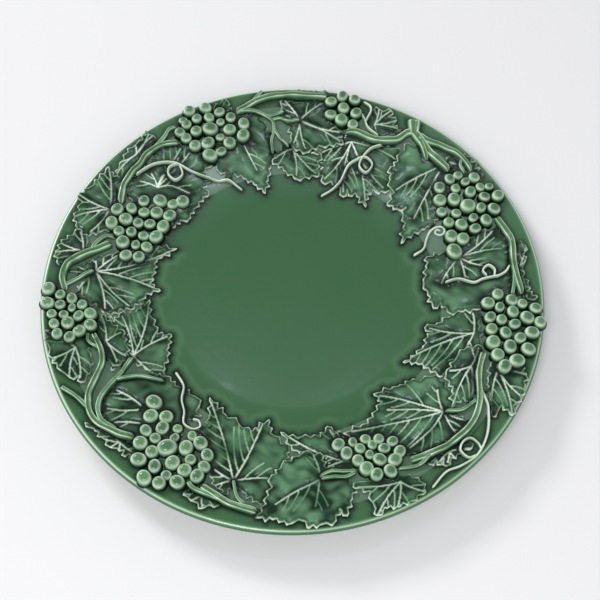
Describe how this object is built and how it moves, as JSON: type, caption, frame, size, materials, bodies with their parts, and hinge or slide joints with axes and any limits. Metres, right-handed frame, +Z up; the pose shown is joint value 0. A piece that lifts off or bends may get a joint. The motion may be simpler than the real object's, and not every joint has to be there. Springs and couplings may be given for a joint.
{
  "type": "majolica plate",
  "caption": "Round footed earthenware plate with a plain well and a broad rim moulded with grapevine leaves, grape clusters, stems and curling tendrils under green glaze.",
  "frame": {"origin": "on the plate's axis, in the plane of the foot ring", "axes": "+Z up out of the well, +X to the right and +Y away from the viewer as the picture shows the plate"},
  "size_m": [0.2798, 0.2798, 0.0261],
  "materials": {
    "glaze_body": "glossy translucent green lead glaze",
    "glaze_leaf": "glossy translucent green lead glaze",
    "glaze_stem": "glossy translucent green lead glaze",
    "glaze_tendril": "glossy translucent green lead glaze",
    "glaze_grape": "glossy translucent green lead glaze"
  },
  "bodies": {
    "root": {"grape_cluster_1": "glaze_grape", "grape_cluster_2": "glaze_grape", "grape_cluster_3": "glaze_grape", "grape_cluster_4": "glaze_grape", "grape_cluster_5": "glaze_grape", "grape_cluster_6": "glaze_grape", "grape_cluster_7": "glaze_grape", "grape_cluster_8": "glaze_grape", "plate_body": "glaze_body", "tendril_1": "glaze_tendril", "tendril_2": "glaze_tendril", "tendril_3": "glaze_tendril", "tendril_4": "glaze_tendril", "tendril_5": "glaze_tendril", "tendril_6": "glaze_tendril", "tendril_7": "glaze_tendril", "vine_leaf_01": "glaze_leaf", "vine_leaf_02": "glaze_leaf", "vine_leaf_03": "glaze_leaf", "vine_leaf_04": "glaze_leaf", "vine_leaf_05": "glaze_leaf", "vine_leaf_06": "glaze_leaf", "vine_leaf_07": "glaze_leaf", "vine_leaf_08": "glaze_leaf", "vine_leaf_09": "glaze_leaf", "vine_leaf_10": "glaze_leaf", "vine_leaf_11": "glaze_leaf", "vine_leaf_12": "glaze_leaf", "vine_leaf_13": "glaze_leaf", "vine_leaf_14": "glaze_leaf", "vine_leaf_15": "glaze_leaf", "vine_leaf_16": "glaze_leaf", "vine_leaf_17": "glaze_leaf", "vine_leaf_18": "glaze_leaf", "vine_leaf_19": "glaze_leaf", "vine_leaf_20": "glaze_leaf", "vine_leaf_21": "glaze_leaf", "vine_leaf_22": "glaze_leaf", "vine_leaf_23": "glaze_leaf", "vine_leaf_24": "glaze_leaf", "vine_leaf_25": "glaze_leaf", "vine_leaf_26": "glaze_leaf", "vine_leaf_27": "glaze_leaf", "vine_leaf_28": "glaze_leaf", "vine_leaf_29": "glaze_leaf", "vine_leaf_30": "glaze_leaf", "vine_leaf_31": "glaze_leaf", "vine_stem_1": "glaze_stem", "vine_stem_2": "glaze_stem", "vine_stem_3": "glaze_stem", "vine_stem_4": "glaze_stem", "vine_stem_5": "glaze_stem", "vine_stem_6": "glaze_stem", "vine_stem_7": "glaze_stem", "vine_stem_8": "glaze_stem", "vine_stem_9": "glaze_stem"}
  },
  "joints": []
}
